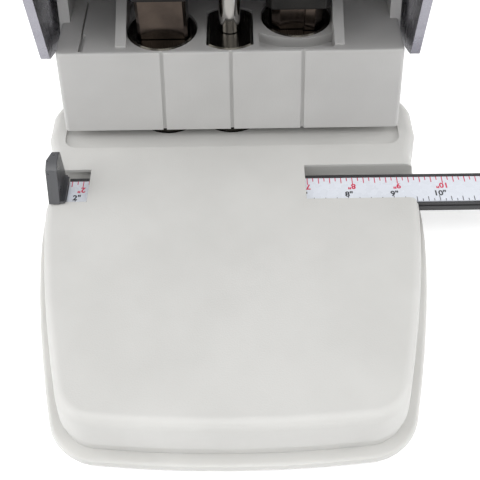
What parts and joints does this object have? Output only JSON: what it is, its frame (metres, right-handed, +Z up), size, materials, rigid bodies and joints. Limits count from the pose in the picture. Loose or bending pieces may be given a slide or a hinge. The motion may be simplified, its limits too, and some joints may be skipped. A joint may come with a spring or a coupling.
{
  "type": "card hole punch",
  "caption": "Desk punch for plastic cards with a slot, a round hole and a rounded-corner station, a sliding rule and a long press handle.",
  "frame": {"origin": "on the table, on the centre plane, under the foot of the head's front wall", "axes": "+X to the user's right, +Y away from the user towards the hinge, +Z up"},
  "size_m": [0.1447, 0.1802, 0.0951],
  "materials": {
    "housing": "fine satin moulding, light warm grey",
    "tray_plastic": "pale, slightly milky moulding",
    "black_plastic": "satin black moulding",
    "grey_plastic": "satin dark grey moulding",
    "rubber": "matt rubber sheet",
    "scale_face": "white printed strip",
    "handle_plating": "glossy dark nickel plating",
    "black_steel": "blackened steel",
    "tool_steel": "dark polished hardened steel",
    "bright_steel": "ground or plated bright steel"
  },
  "bodies": {
    "base": {"deck_shell": "housing", "die_plate": "bright_steel", "slot_die": "tool_steel", "round_die": "tool_steel", "corner_die": "tool_steel", "card_stop": "bright_steel", "slot_barrel": "tool_steel", "round_barrel": "tool_steel", "corner_barrel": "tool_steel", "slot_spring": "bright_steel", "round_spring": "bright_steel", "corner_spring": "bright_steel", "head_housing": "housing", "stripper_plate": "bright_steel", "frame_left": "bright_steel", "frame_right": "bright_steel", "frame_screw_1": "bright_steel", "frame_screw_2": "bright_steel", "frame_screw_3": "bright_steel", "frame_screw_4": "bright_steel", "rear_cover": "black_plastic", "rear_screw_left": "bright_steel", "rear_screw_right": "bright_steel", "pivot_axle": "bright_steel", "axle_clip_left": "bright_steel", "axle_clip_right": "bright_steel", "handle_spring": "bright_steel", "guide_leaf_spring": "bright_steel"},
    "tray": {"chip_tray": "tray_plastic", "non_slip_mat": "rubber", "tray_hinge_pin": "bright_steel"},
    "handle": {"handle_shell": "handle_plating", "handle_grip": "black_plastic", "grip_screw_left": "bright_steel", "grip_screw_right": "bright_steel", "presser_rail": "bright_steel", "rail_screw_left": "bright_steel", "rail_screw_right": "bright_steel"},
    "selector": {"presser_block": "bright_steel", "selector_knob": "black_plastic"},
    "slot_punch": {"slot_punch": "bright_steel", "slot_cap": "black_steel"},
    "round_punch": {"round_punch": "bright_steel", "round_cap": "black_steel"},
    "corner_punch": {"corner_punch": "bright_steel", "corner_cap": "black_steel"},
    "guide": {"guide_rail": "black_plastic", "guide_scale": "scale_face", "guide_stop": "grey_plastic", "stop_screw": "bright_steel", "guide_end_cap": "black_plastic"}
  },
  "joints": [
    {"name": "handle_press", "type": "hinge", "parent": "base", "child": "handle", "pos_m": [0, 0.052, 0.06], "axis": [1, 0, 0], "range_deg": [0, 7.5], "stiffness_Nm_per_rad": 2, "springref_deg": -17.19, "deforming": ["handle_spring"]},
    {"name": "slot_press", "type": "slide", "parent": "base", "child": "slot_punch", "axis": [0, 0, -1], "range_m": [0, 0.0053], "deforming": ["slot_spring"]},
    {"name": "round_press", "type": "slide", "parent": "base", "child": "round_punch", "axis": [0, 0, -1], "range_m": [0, 0.0053], "deforming": ["round_spring"]},
    {"name": "corner_press", "type": "slide", "parent": "base", "child": "corner_punch", "axis": [0, 0, -1], "range_m": [0, 0.0053], "deforming": ["corner_spring"]},
    {"name": "selector_slide", "type": "slide", "parent": "handle", "child": "selector", "axis": [1, 0, 0], "range_m": [-0.0189, 0.0186]},
    {"name": "guide_slide", "type": "slide", "parent": "base", "child": "guide", "axis": [1, 0, 0], "range_m": [-0.032, 0.005]},
    {"name": "tray_hinge", "type": "hinge", "parent": "base", "child": "tray", "pos_m": [0, 0.0806, 0.0089], "axis": [1, 0, 0], "range_deg": [0, 35]}
  ],
  "couplings": [
    {"joint": "slot_press", "follows": "handle_press", "m_per_rad": 0.0402},
    {"joint": "round_press", "follows": "handle_press", "m_per_rad": 0.0402},
    {"joint": "corner_press", "follows": "handle_press", "m_per_rad": 0.0402}
  ]
}
